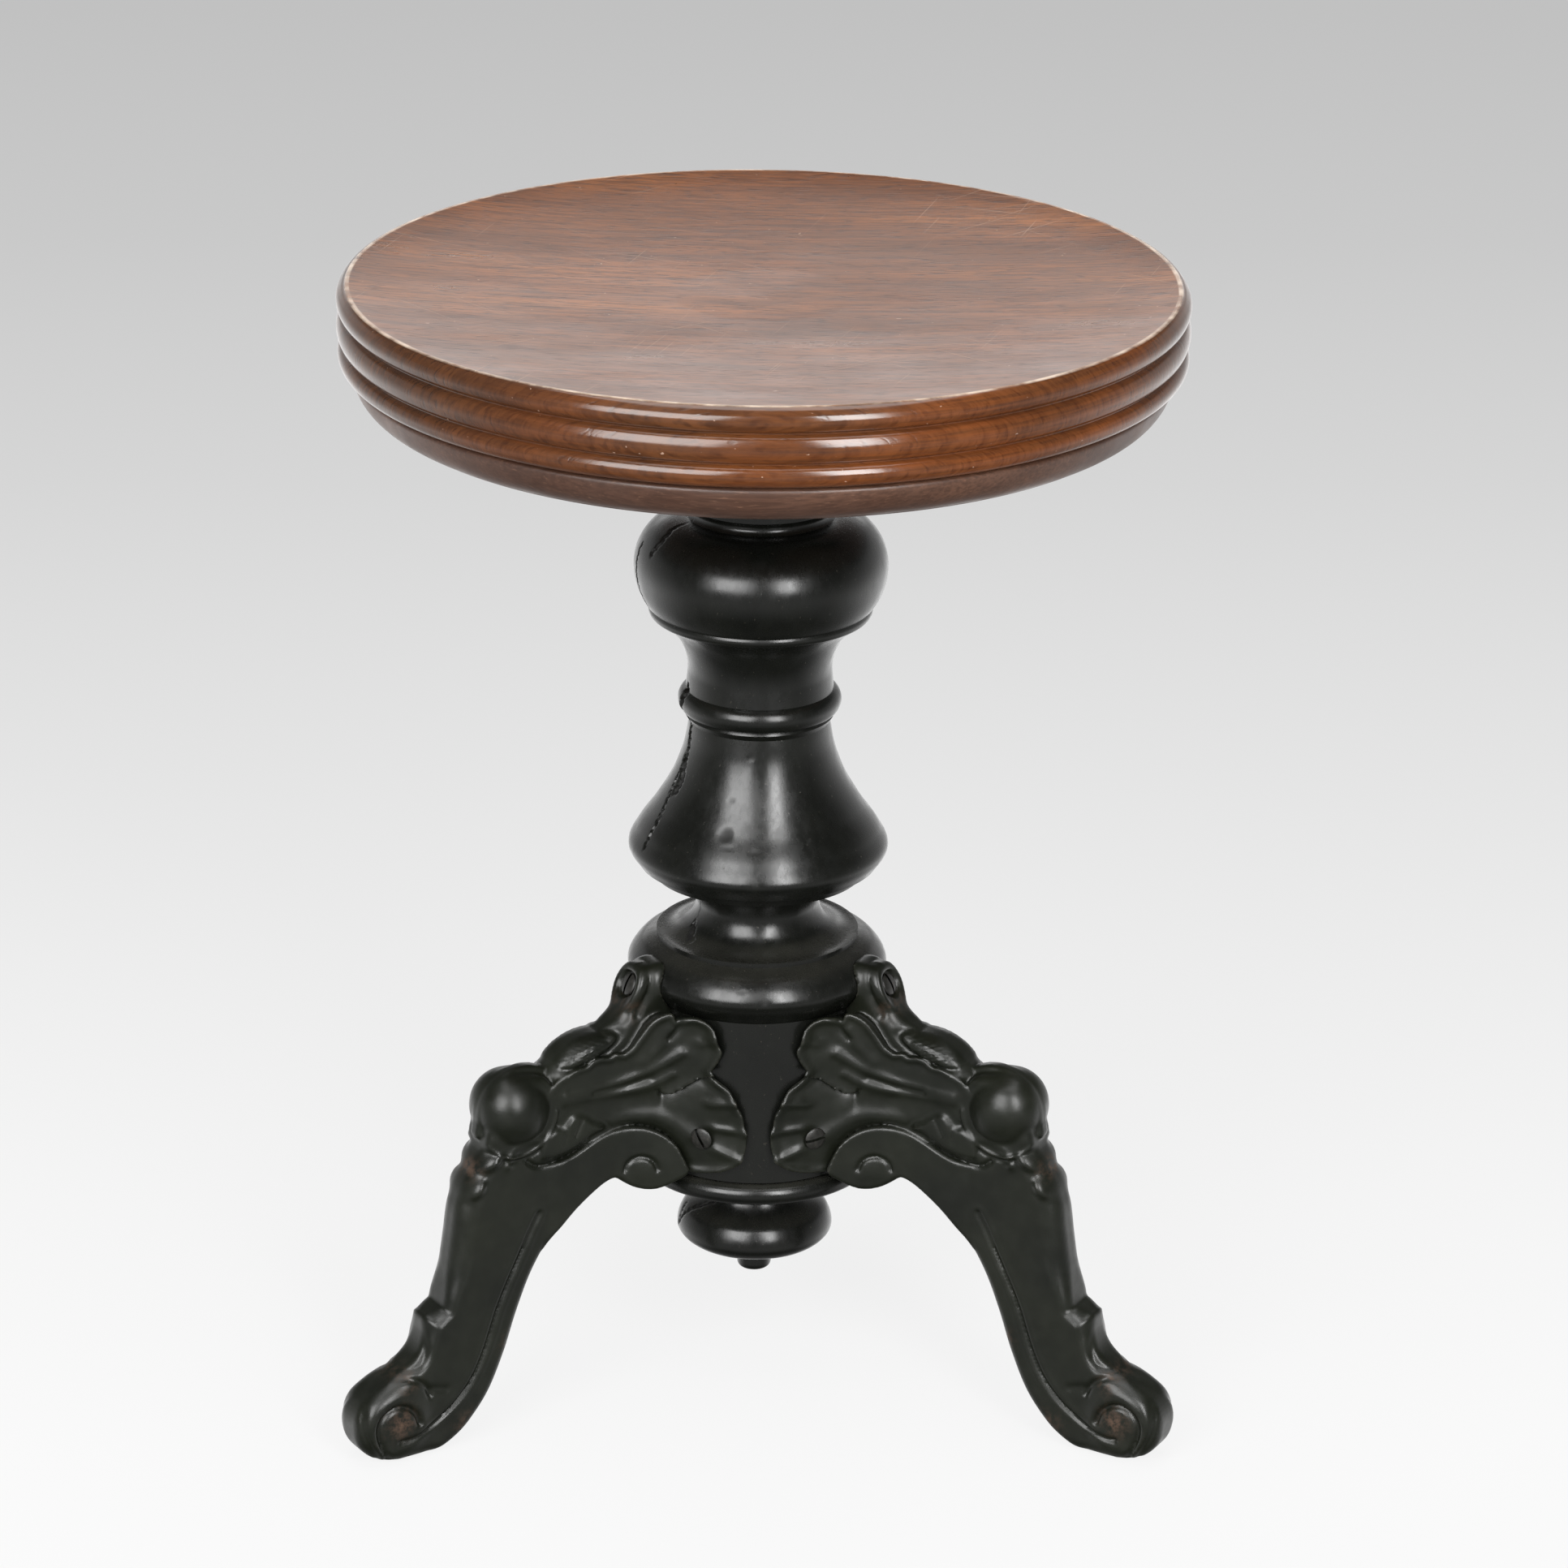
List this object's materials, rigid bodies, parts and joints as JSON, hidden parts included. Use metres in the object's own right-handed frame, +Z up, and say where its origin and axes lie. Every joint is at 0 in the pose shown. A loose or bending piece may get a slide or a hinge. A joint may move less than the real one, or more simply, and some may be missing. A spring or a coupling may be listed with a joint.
{
  "type": "revolving piano stool",
  "caption": "Round beaded wooden seat on a central lifting screw, turned ebonised wood column, cast-iron cabriole tripod legs with leaf flanges",
  "frame": {"origin": "middle of the stool's footprint box, on the floor; the column's axis stands 11.6 mm in front of it, because one leg points straight back", "axes": "+Z up along the column, +Y towards the rear leg, +X to the right as seen from the front"},
  "size_m": [0.3534, 0.3739, 0.488],
  "materials": {
    "seat_wood": "worn wax polish",
    "underplate_wood": "dark stain, satin",
    "ebonised_wood": "ebonised, satin polish",
    "cast_iron": "black paint, satin",
    "steel": "dark, worn",
    "brass": "dull"
  },
  "bodies": {
    "stand": {"spindle_nut": "brass", "nut_screws": "steel", "column": "ebonised_wood", "finial": "ebonised_wood", "leg_left": "cast_iron", "leg_left_tab_screw": "steel", "leg_left_leaf_screws": "steel", "leg_right": "cast_iron", "leg_right_tab_screw": "steel", "leg_right_leaf_screws": "steel", "leg_rear": "cast_iron", "leg_rear_tab_screw": "steel", "leg_rear_leaf_screws": "steel"},
    "lift": {"stop_washer": "steel"},
    "seat": {"seat_top": "seat_wood", "seat_underplate": "underplate_wood", "underplate_screws": "steel", "spindle_flange": "cast_iron", "flange_screws": "steel", "spindle": "steel", "spindle_pin": "steel", "stop_screw": "steel"}
  },
  "joints": [
    {"name": "seat_rise", "type": "slide", "parent": "stand", "child": "lift", "axis": [0, 0, 1], "range_m": [0, 0.0962]},
    {"name": "seat_turn", "type": "hinge", "parent": "lift", "child": "seat", "pos_m": [0, -0.01195, 0.45], "axis": [0, 0, 1], "range_deg": [0, 5760]}
  ],
  "couplings": [
    {"joint": "seat_rise", "follows": "seat_turn", "m_per_rad": 0.00095493}
  ]
}
